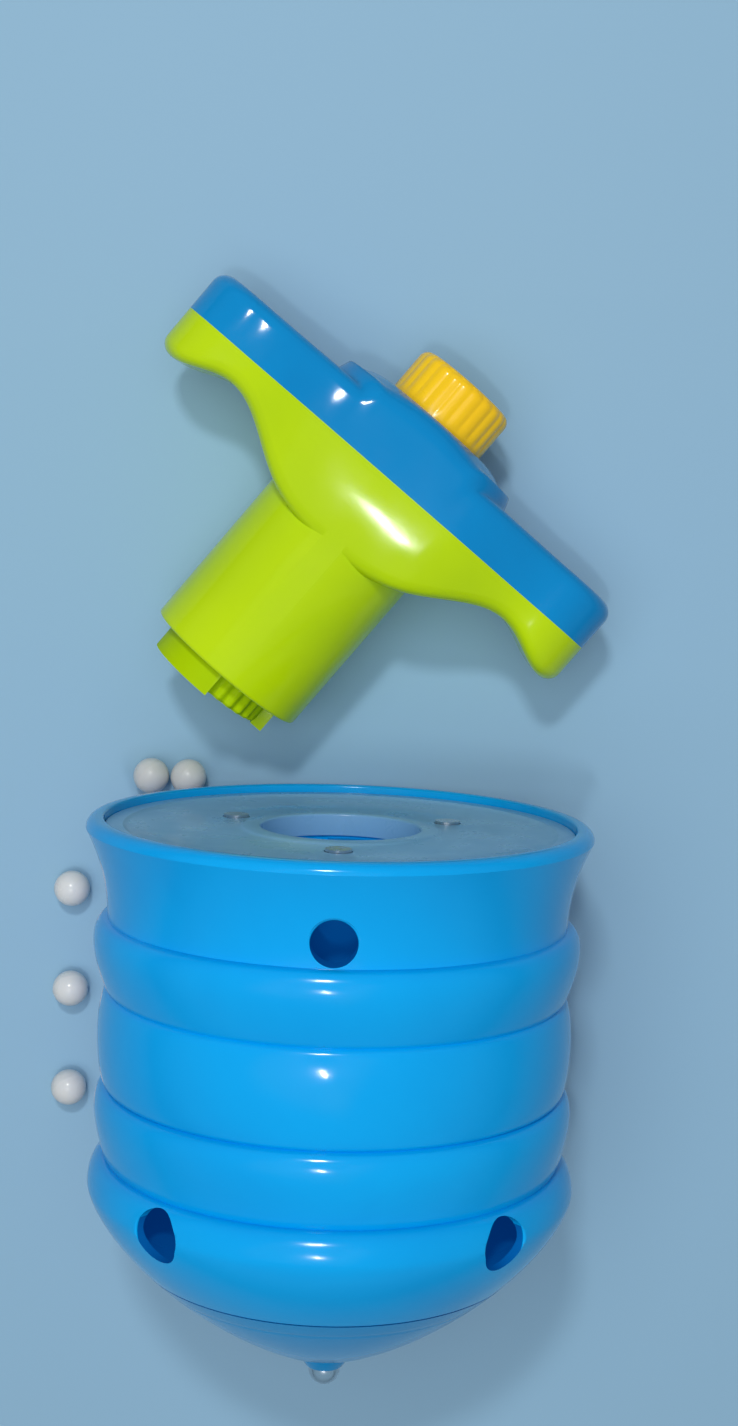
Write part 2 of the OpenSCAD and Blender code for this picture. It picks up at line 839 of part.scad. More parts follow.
// Rotor with two claws round a fluted boss
module claw_rotor() {
    face = tube_l + rotor_out;
    color("yellowgreen") lay_launcher() difference() {
        union() {
            along_tube(face, web_low + gap, rotor_r);
            for (turn = claw_turns)
                translate([0, 0, -claw_end]) rotate([0, 0, turn])
                    rotate_extrude(angle = claw_angle)
                        translate([rotor_r - claw_w, 0])
                            square([claw_w, claw_h + over]);
            translate([0, 0, -flute_end]) linear_extrude(flute_end - face + over)
                polygon([for (i = [0:2 * flutes - 1])
                    let (r = flute_r - flute_depth * (i % 2), a = 180 * i / flutes)
                        [r * cos(a), r * sin(a)]]);
        }
        along_tube(axle_end - over, web_low, axle_r + fit / 2);
    }
}

module rotor_axle() {
    color("silver") lay_launcher() along_tube(axle_end - 2 * over, -axle_top, axle_r);
}

// Bush of the axle in the web of the tube
module axle_bush() {
    color("peru") lay_launcher() difference() {
        union() {
            along_tube(web_low, web_top, bush_r);
            along_tube(web_top, web_top - bush_lip_t, bush_lip_r);
        }
        along_tube(web_low + over, web_top - bush_lip_t - over, axle_r + fit);
    }
}

module spring_arbor() {
    color("ivory") lay_launcher() difference() {
        along_tube(arbor_low, arbor_top, arbor_r);
        along_tube(arbor_low + over, arbor_top - over, axle_r + fit / 2);
    }
}

// Flat spiral spring, wound outwards from the arbor to the wall
module mainspring() {
    inner = arbor_r + gap;
    outer = spring_bore_r - soft_gap - strip_t;
    steps = strip_turns * strip_steps;
    line = [for (i = [0:steps]) [inner + (outer - inner) * i / steps, 360 * i / strip_steps]];
    echo(str("gap between the turns of the flat spring: ",
        (outer - inner) / strip_turns - strip_t));
    color("slategray") lay_launcher() translate([0, 0, -strip_low])
        linear_extrude(strip_w) polygon(concat(
            [for (p = line) [p[0] * cos(p[1]), p[0] * sin(p[1])]],
            [for (p = reverse(line))
                [(p[0] + strip_t) * cos(p[1]), (p[0] + strip_t) * sin(p[1])]]));
}

module spring_washer() {
    color("silver") lay_launcher() difference() {
        along_tube(washer_z, washer_z - washer_t, tube_bore_r - fit);
        along_tube(washer_z + over, washer_z - washer_t - over, arbor_r + gap);
    }
}

// Ratchet wheel with saw teeth on its long hub
module ratchet_wheel() {
    color("ivory") lay_launcher() difference() {
        union() {
            translate([0, 0, -ratchet_low]) linear_extrude(ratchet_t)
                polygon([for (i = [0:ratchet_teeth - 1], tip = [1, 0])
                    let (a = 360 * (i + (1 - tip) * tooth_share) / ratchet_teeth,
                        r = ratchet_r - tooth_h * (1 - tip))
                        [r * cos(a), r * sin(a)]]);
            along_tube(arbor_top, ratchet_low - over, ratchet_hub_r);
        }
        along_tube(arbor_top + over, ratchet_top - over, axle_r + fit / 2);
    }
}

// Plate that bears the upper end of the axle
module bearing_plate() {
    color("silver") lay_launcher() difference() {
        along_tube(plate_low, plate_top, plate_r);
        along_tube(plate_low + over, plate_top - over, axle_r + fit);
        translate([prong_back - gap, prong_y - prong_w, -plate_low - over])
            cube([plate_r, 2 * prong_w, plate_t + 2 * over]);
    }
}

module axle_clip() {
    color("silver") lay_launcher() difference() {
        along_tube(plate_top - soft_gap, plate_top - soft_gap - clip_t, clip_r);
        along_tube(plate_top + over, -over - axle_top, axle_r + fit / 2);
        translate([0, -axle_r / 2, -plate_top]) cube([clip_r + over, axle_r, plate_top + over]);
    }
}

// Catch with a nose at the ratchet and a tail at the prong
module catch_lever() {
    nose_x = ratchet_r + catch_gap;
    front = catch_x - catch_arm_w / 2;
    color("ivory") lay_launcher() difference() {
        translate([0, 0, -ratchet_low]) linear_extrude(ratchet_t) union() {
            translate([catch_x, catch_y]) circle(r = catch_hub_r);
            polygon([[catch_back, catch_y], [front, catch_y], [front, nose_w / 2],
                [nose_x, 0], [front, -nose_w / 2], [front, catch_y - catch_tail],
                [catch_back, catch_y - catch_tail]]);
        }
        translate([catch_x, catch_y, -ratchet_low - over])
            cylinder(r = catch_pin_r + fit, h = ratchet_t + 2 * over);
    }
}

module catch_pin() {
    color("silver") lay_launcher() translate([catch_x, catch_y, -catch_pin_low])
        cylinder(r = catch_pin_r, h = catch_pin_low - catch_pin_top);
}

module catch_spring() {
    color("silver") lay_launcher()
        translate([catch_back + fit, catch_spring_y, ratchet_t / 2 - ratchet_low])
            rotate([0, 90, 0])
                spring(catch_spring_r, wire_r / 2, bay_end - catch_back - 2 * fit,
                    small_spring_turns);
}

module handle_screws() {
    color("silver") lay_launcher() for (side = [-1, 1])
        translate([side * grip_screw_x, 0, grip_screw_top]) mirror([0, 0, 1])
            screw(grip_screw_r, grip_screw_top + grip_head_z, grip_head_r, grip_head_h);
}

// Pellets: three in a row beside the top and a pair just beyond its rim
pellet_places = [[-row_dx, -row_first], [-row_dx, -row_first - row_pitch],
    [-row_dx, -row_first - 2 * row_pitch], [-pair_dx, pair_out],
    [pellet_d + gap - pair_dx, pair_out]];

module pellet(place) {
    color("white") translate([mid_x + place[0], mid_y + place[1], pellet_d / 2])
        sphere(d = pellet_d);
}

upper_shell();
main_shell();
pellet_shelf();
base_cap();
top_lid();
launch_hub();
lid_screws();
ball_core();
spin_tip();
circuit_board();
leds();
speaker();
sound_chip();
battery_holder();
battery_contacts();
button_cells();
battery_cover();
battery_screw();
battery_leads();
switch_case();
switch_weight();
switch_spring();
launcher_body();
launcher_cover();
release_button();
button_spring();
claw_rotor();
rotor_axle();
axle_bush();
spring_arbor();
mainspring();
spring_washer();
ratchet_wheel();
bearing_plate();
axle_clip();
catch_lever();
catch_pin();
catch_spring();
handle_screws();
pellet(pellet_places[0]);  // ball_1
pellet(pellet_places[1]);  // ball_2
pellet(pellet_places[2]);  // ball_3
pellet(pellet_places[3]);  // ball_4
pellet(pellet_places[4]);  // ball_5
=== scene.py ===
import bpy
import bmesh
import json
import math
from mathutils import Matrix, Vector


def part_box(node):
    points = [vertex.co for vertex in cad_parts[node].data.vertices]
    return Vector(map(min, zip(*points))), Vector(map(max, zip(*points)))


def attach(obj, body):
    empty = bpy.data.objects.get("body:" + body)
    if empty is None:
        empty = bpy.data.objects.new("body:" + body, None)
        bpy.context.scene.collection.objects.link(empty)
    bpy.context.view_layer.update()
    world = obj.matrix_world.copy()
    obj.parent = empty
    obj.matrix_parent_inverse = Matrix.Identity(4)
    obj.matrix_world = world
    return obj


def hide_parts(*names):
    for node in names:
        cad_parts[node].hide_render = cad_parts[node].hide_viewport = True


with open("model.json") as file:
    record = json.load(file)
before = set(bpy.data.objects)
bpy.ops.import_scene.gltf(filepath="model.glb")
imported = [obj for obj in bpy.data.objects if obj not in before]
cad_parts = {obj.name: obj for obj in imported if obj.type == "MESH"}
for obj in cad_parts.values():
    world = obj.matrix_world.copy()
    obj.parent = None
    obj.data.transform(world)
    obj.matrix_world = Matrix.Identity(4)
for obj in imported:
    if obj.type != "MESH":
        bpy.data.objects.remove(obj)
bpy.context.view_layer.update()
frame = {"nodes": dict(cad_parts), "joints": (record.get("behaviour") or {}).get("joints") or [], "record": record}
print("frame loaded:", len(frame["nodes"]), "nodes")

mm = 0.001  # every piece is drawn in millimetres and set down in metres
weldGap = 0.0005  # points of a mesh that are closer than this are one point
joints = {joint["name"]: joint for joint in frame["joints"]}


# Places, taken from the frame

def placeMatrix(origin, xAxis, yAxis, zAxis):
    place = Matrix.Identity(4)
    for row in range(3):
        for column, axis in enumerate((xAxis, yAxis, zAxis)):
            place[row][column] = axis[row] * mm
        place[row][3] = origin[row]
    return place


# the top's own z axis runs from its tip to its rim
rimLow, rimHigh = [Vector(corner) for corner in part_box("upper_shell")]
rimMiddle = (rimLow + rimHigh) / 2
tipLow = Vector(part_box("spin_tip")[0])
topPlace = placeMatrix((rimMiddle.x, tipLow.y, rimMiddle.z), (1, 0, 0), (0, 0, -1), (0, 1, 0))

# the launcher's own z axis runs from its tube to its button
tubeWay = Vector(joints["rotor_spin"]["axis"])
launchSpot = Vector(joints["rotor_spin"]["pos_m"])
launchPlace = placeMatrix(launchSpot, (-tubeWay.y, tubeWay.x, 0), (0, 0, -1), -tubeWay)


# Mesh helpers

def addPiece(name, mesh, place, body, slot, *nodes):
    mesh.transform(place)
    piece = bpy.data.objects.new(name, mesh)
    bpy.context.scene.collection.objects.link(piece)
    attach(piece, body)
    if nodes:
        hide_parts(*nodes)
    return piece


def closeMesh(name, bm):
    bmesh.ops.remove_doubles(bm, verts=bm.verts, dist=weldGap)
    bmesh.ops.recalc_face_normals(bm, faces=bm.faces)
    mesh = bpy.data.meshes.new(name)
    bm.to_mesh(mesh)
    bm.free()
    return mesh


def latheMesh(name, outline, around=192, radiusAt=None):
    # turns a closed outline of (radius, height) round the z axis
    bm = bmesh.new()
    rings = []
    for radius, height in outline:
        ring = []
        for i in range(around):
            angle = 2 * math.pi * i / around
            r = radiusAt(radius, height, angle) if radiusAt else radius
            ring.append(bm.verts.new((r * math.cos(angle), r * math.sin(angle), height)))
        rings.append(ring)
    for a, b in zip(rings, rings[1:] + rings[:1]):
        for i in range(around):
            j = (i + 1) % around
            bm.faces.new((a[i], a[j], b[j], b[i]))
    bmesh.ops.dissolve_degenerate(bm, dist=weldGap, edges=bm.edges)
    return closeMesh(name, bm)


def loftMesh(name, sections):
    # joins closed sections with the same number of points and caps both ends
    bm = bmesh.new()
    rings = [[bm.verts.new(point) for point in section] for section in sections]
    for a, b in zip(rings, rings[1:]):
        for i in range(len(a)):
            j = (i + 1) % len(a)
            bm.faces.new((a[i], a[j], b[j], b[i]))
    bm.faces.new(rings[0])
    bm.faces.new(reversed(rings[-1]))
    return closeMesh(name, bm)


def arc(centreX, centreY, radius, start, stop, steps):
    angles = [math.radians(start + (stop - start) * i / steps) for i in range(steps + 1)]
    return [(centreX + radius * math.cos(angle), centreY + radius * math.sin(angle))
            for angle in angles]


def sectorMesh(name, inner, outer, start, sweep, low, high, steps=40):
    # a part of a ring, from one angle over a sweep, both in degrees
    bm = bmesh.new()
    rings = []
    for z in (low, high):
        for radius in (inner, outer):
            edge = arc(0, 0, radius, start, start + sweep, steps)
            rings.append([bm.verts.new((x, y, z)) for x, y in edge])
    lowIn, lowOut, highIn, highOut = rings
    for a, b in ((lowIn, lowOut), (lowOut, highOut), (highOut, highIn), (highIn, lowIn)):
        for i in range(steps):
            bm.faces.new((a[i], a[i + 1], b[i + 1], b[i]))
    for i in (0, steps):
        bm.faces.new((lowIn[i], lowOut[i], highOut[i], highIn[i]))
    return closeMesh(name, bm)


def cutWith(piece, cutter, operation="DIFFERENCE"):
    # a cutter is a mesh that is already in its place, and its object goes after the cut
    tool = bpy.data.objects.new("cutter", cutter)
    bpy.context.scene.collection.objects.link(tool)
    cut = piece.modifiers.new("cut", "BOOLEAN")
    cut.object = tool
    cut.operation = operation
    cut.solver = "EXACT"
    view = bpy.context.evaluated_depsgraph_get()
    baked = bpy.data.meshes.new_from_object(piece.evaluated_get(view))
    piece.modifiers.clear()
    piece.data = baked
    bpy.data.objects.remove(tool)


def smooth(piece, angle=32):
    # edges sharper than the angle, in degrees, stay sharp
    for face in piece.data.polygons:
        face.use_smooth = True
    piece.data.set_sharp_from_angle(angle=math.radians(angle))


# Materials

def newMaterial(name):
    material = bpy.data.materials.new(name)
    material.use_nodes = True
    tree = material.node_tree
    return material, tree, tree.nodes["Principled BSDF"]


def noiseNode(tree, scale, detail=3.0, distortion=0.0):
    coords = tree.nodes.new("ShaderNodeTexCoord")
    noise = tree.nodes.new("ShaderNodeTexNoise")
    noise.inputs["Scale"].default_value = scale
    noise.inputs["Detail"].default_value = detail
    noise.inputs["Distortion"].default_value = distortion
    tree.links.new(coords.outputs["Object"], noise.inputs["Vector"])
    return noise


def spread(tree, source, low, high, fromLow=0.3, fromHigh=0.7):
    # a value between fromLow and fromHigh is stretched to run from low to high
    ramp = tree.nodes.new("ShaderNodeMapRange")
    ramp.inputs["From Min"].default_value = fromLow
    ramp.inputs["From Max"].default_value = fromHigh
    ramp.inputs["To Min"].default_value = low
    ramp.inputs["To Max"].default_value = high
    tree.links.new(source, ramp.inputs["Value"])
    return ramp.outputs["Result"]


plastic = {
    "cloudScale": 28, "cloudDetail": 4.0, "cloudTwist": 0.6, "hazeScale": 160, "hazeDetail": 5.0,
    "rippleScale": 90, "scuffScale": 1400, "fineDetail": 2.0, "scuffShare": 0.12,
    "bumpDepth": 0.0004, "leastRough": 0.75, "mostRough": 1.35, "coatShare": 0.25,
    "coatRough": 0.06, "glowDepth": (0.002, 0.003, 0.004),
}


def mouldedPlastic(name, colour, deeper, rough=0.16, glow=0.0, grain=0.05, shine=0.4):
    # glossy moulded plastic: cloudy colour, uneven gloss, a faint ripple and fine scuffs
    look = plastic
    material, tree, shader = newMaterial(name)
    clouds = noiseNode(tree, look["cloudScale"], look["cloudDetail"], look["cloudTwist"])
    mix = tree.nodes.new("ShaderNodeMix")
    mix.data_type = "RGBA"
    mix.inputs["A"].default_value = (*colour, 1)
    mix.inputs["B"].default_value = (*deeper, 1)
    tree.links.new(spread(tree, clouds.outputs["Fac"], 0.0, 1.0), mix.inputs["Factor"])
    tree.links.new(mix.outputs["Result"], shader.inputs["Base Color"])
    haze = noiseNode(tree, look["hazeScale"], look["hazeDetail"])
    gloss = spread(tree, haze.outputs["Fac"], rough * look["leastRough"], rough * look["mostRough"])
    tree.links.new(gloss, shader.inputs["Roughness"])
    ripple = noiseNode(tree, look["rippleScale"], look["fineDetail"])
    scuffs = noiseNode(tree, look["scuffScale"], look["fineDetail"])
    heights = tree.nodes.new("ShaderNodeMath")
    heights.operation = "MULTIPLY_ADD"
    heights.inputs[1].default_value = look["scuffShare"]
    tree.links.new(scuffs.outputs["Fac"], heights.inputs[0])
    tree.links.new(ripple.outputs["Fac"], heights.inputs[2])
    bump = tree.nodes.new("ShaderNodeBump")
    bump.inputs["Strength"].default_value = grain
    bump.inputs["Distance"].default_value = look["bumpDepth"]
    tree.links.new(heights.outputs["Value"], bump.inputs["Height"])
    tree.links.new(bump.outputs["Normal"], shader.inputs["Normal"])
    shader.inputs["Subsurface Weight"].default_value = glow
    shader.inputs["Subsurface Radius"].default_value = look["glowDepth"]
    shader.inputs["Specular IOR Level"].default_value = shine
    shader.inputs["Coat Weight"].default_value = shine * look["coatShare"]
    shader.inputs["Coat Roughness"].default_value = look["coatRough"]
    return material


metal = {"grainScale": 900, "grainDetail": 4.0, "leastRough": 0.7, "mostRough": 1.4,
         "bump": 0.08, "bumpDepth": 0.0002}


def brushedMetal(name, colour, rough=0.3):
    look = metal
    material, tree, shader = newMaterial(name)
    grain = noiseNode(tree, look["grainScale"], look["grainDetail"])
    gloss = spread(tree, grain.outputs["Fac"], rough * look["leastRough"], rough * look["mostRough"])
    tree.links.new(gloss, shader.inputs["Roughness"])
    bump = tree.nodes.new("ShaderNodeBump")
    bump.inputs["Strength"].default_value = look["bump"]
    bump.inputs["Distance"].default_value = look["bumpDepth"]
    tree.links.new(grain.outputs["Fac"], bump.inputs["Height"])
    tree.links.new(bump.outputs["Normal"], shader.inputs["Normal"])
    shader.inputs["Base Color"].default_value = (*colour, 1)
    shader.inputs["Metallic"].default_value = 1.0
    return material


# each plastic: its colour, the deeper shade of its clouds and what differs from the plain look
finishes = {
    "top_blue": mouldedPlastic("topBlue", (0.0, 0.37, 0.82), (0.0, 0.32, 0.75),
                               rough=0.14, shine=0.3),
    # the base cap's blue is a darker copy of the top's blue: painted shade towards the tip
    "base_blue": mouldedPlastic("baseShadedBlue", (0.002, 0.3, 0.68), (0.001, 0.25, 0.6),
                                rough=0.14, shine=0.3),
    # the lid's grey-blue is its plastic lightened with a painted sheen, standing in for the reflection across it
    # and for the little light that reaches it
    "lid_grey": mouldedPlastic("lidSheenGrey", (0.2, 0.43, 0.7), (0.17, 0.39, 0.64), rough=0.3),
    "launcher_green": mouldedPlastic("launcherGreen", (0.5, 0.7, 0.001), (0.43, 0.63, 0.001),
                                     rough=0.12, shine=0.2),
    # the rotor's green is a darker copy of the launcher's green: painted shade for where it sits at the end of the
    # tube
    "rotor_green": mouldedPlastic("rotorShadedGreen", (0.4, 0.58, 0.001), (0.34, 0.52, 0.001),
                                  rough=0.5, shine=0.05),
    "cover_blue": mouldedPlastic("coverBlue", (0.0, 0.25, 0.58), (0.0, 0.21, 0.51),
                                 rough=0.12, shine=0.3),
    "button_yellow": mouldedPlastic("buttonYellow", (0.95, 0.6, 0.002), (0.88, 0.52, 0.002),
                                    rough=0.22),
    "pellet_white": mouldedPlastic("pelletWhite", (0.68, 0.69, 0.68), (0.6, 0.61, 0.6),
                                   rough=0.3, glow=0.1, grain=0.12),
    "screw_steel": brushedMetal("screwSteel", (0.6, 0.6, 0.62)),
    "spring_steel": brushedMetal("springSteel", (0.42, 0.42, 0.44), rough=0.35),
    "cell_steel": brushedMetal("cellSteel", (0.72, 0.72, 0.74), rough=0.18),
    "brass": brushedMetal("brass", (0.78, 0.56, 0.22), rough=0.28),
    "board_green": mouldedPlastic("boardGreen", (0.01, 0.14, 0.04), (0.008, 0.1, 0.03),
                                  rough=0.3),
    "black_plastic": mouldedPlastic("blackPlastic", (0.02, 0.02, 0.022), (0.012, 0.012, 0.014),
                                    rough=0.45, grain=0.2),
    "led_white": mouldedPlastic("ledWhite", (0.8, 0.82, 0.85), (0.75, 0.78, 0.82),
                                rough=0.08, glow=0.3),
    "lead_red": mouldedPlastic("leadRed", (0.5, 0.01, 0.008), (0.42, 0.008, 0.006), rough=0.4),
    "ivory_plastic": mouldedPlastic("ivoryPlastic", (0.76, 0.7, 0.56), (0.7, 0.64, 0.5),
                                    rough=0.4),
}

# painted shade and painted glow: a dark deep blue with a faint glow of its own goes where shade falls inside the
# pellet ring and the ports, standing in for dim daylight through the thin shells
paintedGlow = {"colour": (0.0, 0.17, 0.8), "strength": 0.12}
shadeAndGlowBlue = mouldedPlastic("shadeAndGlowBlue", (0.0, 0.1, 0.32), (0.0, 0.08, 0.27),
                           rough=0.7, grain=0.1, shine=0.05)
shadeAndGlowShader = shadeAndGlowBlue.node_tree.nodes["Principled BSDF"]
# the emission is painted glow: the inside of the top is no lamp
shadeAndGlowShader.inputs["Emission Color"].default_value = (*paintedGlow["colour"], 1)
shadeAndGlowShader.inputs["Emission Strength"].default_value = paintedGlow["strength"]
print("materials made:", len(finishes) + 1)


def dress(piece, finish):
    piece.data.materials.clear()
    piece.data.materials.append(finishes[finish])


# The top: what its shells and its base cap share

topShell = {
    "bore": 31.0, "neck": 34.4, "groove": 34.2, "base": 36.7, "widest": 32.797, "tipOut": 4.0,
    "sidePower": 1.424, "roundPower": 1.341, "tipPower": 1.5, "rimBand": 73.1, "capSeam": 21.3,
    "seamGap": 0.15, "portFlare": 0.3, "portSplay": 4, "portInward": 6, "portOutward": 4,
}


def baseRadius(z, wall=0.0):
    # a cone with a rounded end, drawn in by a wall's thickness
    size = topShell
    share = (size["widest"] - z) / (size["widest"] - size["tipOut"] - wall)
    full = max(1 - max(share, 0) ** size["sidePower"], 0)
    return (size["base"] - wall) * full ** (1 / size["roundPower"])


def baseOutline(low, high, steps, wall=0.0):
    # the steps lie closer together towards the tip, where the cone is rounder
    shares = [(i / steps) ** topShell["tipPower"] for i in range(steps + 1)]
    heights = [low + (high - low) * share for share in shares]
    return [(baseRadius(z, wall), z) for z in heights]


def cutPorts(shell, ports):
    # each port is a bore whose mouth is rounded over where it meets the outside
    bore, surface, flare = ports["radius"], ports["surface"], topShell["portFlare"]
    start, past = topShell["bore"] - topShell["portInward"], surface + topShell["portOutward"]
    outline = [(0, start), (bore, start), (bore, surface - flare)]
    outline += arc(bore + flare, surface - flare, flare, 180, 90, 6)[1:]
    outline += [(bore + topShell["portSplay"] * flare, past), (0, past)]
    for turn in ports["turns"]:
        cutter = latheMesh("port", outline, around=96)
        spin = Matrix.Rotation(math.radians(turn), 4, "Z")
        lay = spin @ Matrix.Translation((0, 0, ports["height"]))
        cutter.transform(topPlace @ lay @ Matrix.Rotation(math.pi / 2, 4, "Y"))
        cutWith(shell, cutter)


def shadeInside(shell, isInside):
    # the walls of the ports and of the pellet ring take the painted shade and glow blue of the inside
    shell.data.materials.append(shadeAndGlowBlue)
    back = topPlace.inverted()
    for face in shell.data.polygons:
        spot = back @ face.center
        face.material_index = 1 if isInside(math.hypot(spot.x, spot.y), spot.z) else 0


upperShell = {
    "rim": 37.8, "height": 88.0, "rimRound": 1.6, "lipRound": 0.4, "lipGap": 0.05,
    "lidSeat": 84.4, "seatWidth": 0.5, "flarePower": 2.0, "flareSteps": 24,
    "ports": {"turns": (0, 90, 180, 270), "height": 76.5, "radius": 3.25, "surface": 34.6},
    "shadeTop": 83, "shadeDepth": 0.5,
}


def makeUpperShell():
    size, neck, bore = upperShell, topShell["neck"], topShell["bore"]
    low, high = topShell["rimBand"], size["height"] - size["rimRound"]
    outline = [(bore, low)]
    for i in range(size["flareSteps"]):
        s = i / size["flareSteps"]
        outline.append((neck + (size["rim"] - neck) * s ** size["flarePower"],
                        low + (high - low) * s))
    lipBore = lid["radius"] + size["lipGap"]
    outline += arc(size["rim"] - size["rimRound"], high, size["rimRound"], 0, 90, 8)
    outline += arc(lipBore + size["lipRound"], size["height"] - size["lipRound"],
                   size["lipRound"], 90, 180, 4)
    outline += [(lipBore, size["lidSeat"]), (bore + size["seatWidth"], size["lidSeat"])]
    shell = addPiece("upperShell", latheMesh("upperShell", outline), topPlace, "top",
                     "top_blue", "upper_shell")
    cutPorts(shell, size["ports"])
    smooth(shell)
    dress(shell, "top_blue")
    shadeInside(shell, lambda radius, z: (z < size["shadeTop"]
                                          and radius < neck - size["shadeDepth"]))


# each band: its low edge, its height, the radius of its crest and the power that lifts the crest
mainShell = {
    "bands": ((37.1, 10.9, 35.9, 1.9), (48.0, 14.2, 35.6, 1.1), (62.2, 10.9, 36.4, 1.9)),
    "bandSteps": 48, "fullness": 0.4, "shoulder": 37.1, "coneSteps": 24, "roundSteps": 15,
    "roundTurn": 6, "wall": 1.5, "wallFoot": 28.8, "ringFloor": 28.7, "socket": 26.65,
    "socketTop": 26.7, "coneTop": 2, "ringShade": 0.5, "coneShade": 0.6,
    "ports": {"turns": (49.5, 133.5, 229.5, 313.5), "height": 32.8, "radius": 3.9,
              "surface": 36.4},
}


def bandOutline(low, height, crest, power):
    size, groove = mainShell, topShell["groove"]
    upper = topShell["neck"] if low == size["bands"][-1][0] else groove
    points = []
    for i in range(size["bandSteps"]):
        s = i / size["bandSteps"]
        swell = max(math.sin(math.pi * s ** power), 0) ** size["fullness"]
        foot = groove + (upper - groove) * s
        points.append((foot + (crest - foot) * swell, low + height * s))
    return points


def makeMainShell():
    size, bore, neck, groove = mainShell, topShell["bore"], topShell["neck"], topShell["groove"]
    seam, widest, shoulder = topShell["capSeam"], topShell["widest"], size["shoulder"]
    low = seam + topShell["seamGap"]
    heights = [low + (widest - low) * i / size["coneSteps"] for i in range(size["coneSteps"])]
    outside = [(baseRadius(z), z) for z in heights]
    for i in range(size["roundSteps"]):
        turn = math.radians(size["roundTurn"] * i)
        outside.append((groove + (topShell["base"] - groove) * math.cos(turn),
                        widest + (shoulder - widest) * math.sin(turn)))
    for band in size["bands"]:
        outside += bandOutline(*band)
    inside = [(radius - size["wall"], z) for radius, z in reversed(outside)
              if z > size["wallFoot"]]
    outline = [(size["socket"], seam)] + outside + [(neck, topShell["rimBand"])]
    outline += [(neck - size["wall"], topShell["rimBand"])] + inside
    outline += [(inside[-1][0], size["ringFloor"]), (bore, size["ringFloor"]),
                (bore, size["socketTop"]), (size["socket"], size["socketTop"])]
    shell = addPiece("mainShell", latheMesh("mainShell", outline), topPlace, "top",
                     "top_blue", "main_shell")
    cutPorts(shell, size["ports"])
    smooth(shell)
    dress(shell, "top_blue")

    def isInside(radius, z):
        if z > widest + size["coneTop"]:
            return radius < groove - size["ringShade"]
        return radius < baseRadius(min(z, widest)) - size["coneShade"]

    shadeInside(shell, isInside)


baseCap = {
    "ringDown": 2.5, "ringDepth": 0.3, "ringGap": 0.4, "ringSlope": 0.2, "stemGap": 0.05,
    "collarDrop": 0.9, "collarLip": 0.4, "collarSide": 0.6, "collarRise": 0.2,
    "coneFoot": (4.2, 5.15), "coneLow": 5.3, "coneSteps": 40, "ringSteps": 6,
    "spigot": 26.4, "spigotBore": 24.4, "spigotRise": 3.3, "spigotDrop": 2,
    "wall": 2.0, "insideLow": 6.2, "insideDrop": 3, "insideSteps": 24,
}


def makeBaseCap():
    # the cone under the seam, with a fine ring below it and a collar round the tip
    size, seam = baseCap, topShell["capSeam"]
    ringTop, seamLow = seam - size["ringDown"], seam - topShell["seamGap"]
    collarLow, stem = topShell["tipOut"] - size["collarDrop"], tip["stem"] + size["stemGap"]
    outline = [(stem, collarLow), (tip["radius"] + size["collarLip"], collarLow),
               (tip["radius"] + size["collarSide"], collarLow + size["collarRise"]),
               size["coneFoot"]]
    outline += baseOutline(size["coneLow"], ringTop - size["ringGap"], size["coneSteps"])
    outline += [(baseRadius(ringTop) - size["ringDepth"], ringTop - size["ringSlope"])]
    heights = [ringTop + (seamLow - ringTop) * i / size["ringSteps"]
               for i in range(size["ringSteps"] + 1)]
    outline += [(baseRadius(z), z) for z in heights]
    spigotTop = seam + size["spigotRise"]
    outline += [(size["spigot"], seam), (size["spigot"], spigotTop),
                (size["spigotBore"], spigotTop), (size["spigotBore"], seam - size["spigotDrop"])]
    inside = baseOutline(size["insideLow"], seam - size["insideDrop"], size["insideSteps"],
                         size["wall"])
    outline += inside[::-1] + [(stem, size["insideLow"])]
    cap = addPiece("baseCap", latheMesh("baseCap", outline), topPlace, "top", "base_blue",
                   "base_cap")
    smooth(cap)
    dress(cap, "base_blue")


tip = {"radius": 2.4, "lowTurn": -85, "highTurn": 17, "stem": 1.5, "stemLow": 3.1,
       "stemTop": 9.1}


def makeTip():
    outline = [(0, 0)] + arc(0, tip["radius"], tip["radius"], tip["lowTurn"], tip["highTurn"], 20)
    outline += [(tip["stem"], tip["stemLow"]), (tip["stem"], tip["stemTop"]), (0, tip["stemTop"])]
    pin = addPiece("spinTip", latheMesh("spinTip", outline, around=64), topPlace, "top",
                   "screw_steel", "spin_tip")
    smooth(pin)
    dress(pin, "screw_steel")


lid = {
    "radius": 35.1, "top": 86.8, "thick": 2.4, "edge": 0.35, "dish": 0.5, "dishIn": 3.0,
    "rimSteps": (0.3, 0.6), "ringSteps": (3.4, 2.8, 2.4), "slope": 0.2, "socket": 12.0,
    "socketDeep": 3.4, "socketWall": 2, "screwTurns": (30, 150, 270), "screwOut": 18.8,
    "screwBore": 1.15, "headBore": 2.1, "headDeep": 1.4, "past": 1,
}


